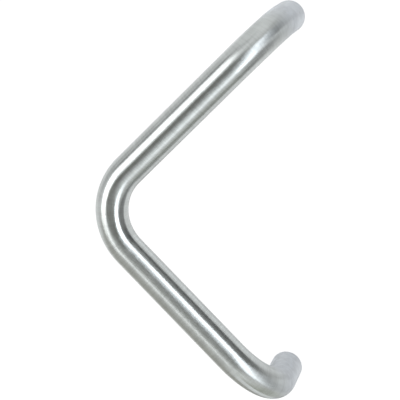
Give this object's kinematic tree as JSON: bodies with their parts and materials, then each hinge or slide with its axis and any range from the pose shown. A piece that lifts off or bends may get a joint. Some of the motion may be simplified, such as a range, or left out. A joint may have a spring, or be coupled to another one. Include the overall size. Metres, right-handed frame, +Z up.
{
  "type": "door pull handle",
  "caption": "Round-bar door pull handle: a right-angled vee between posts bent back to the door, with a tapped fixing hole in each end face.",
  "frame": {"origin": "on the door face, midway between the two fixing holes", "axes": "+Z up along the line of the fixing holes, +Y into the door and -Y out towards the hand, -X towards the point of the vee"},
  "size_m": [0.118, 0.07, 0.245],
  "materials": {
    "satin_stainless": "satin, brushed round the bar"
  },
  "bodies": {
    "root": {"pull_bar": "satin_stainless"}
  },
  "joints": []
}
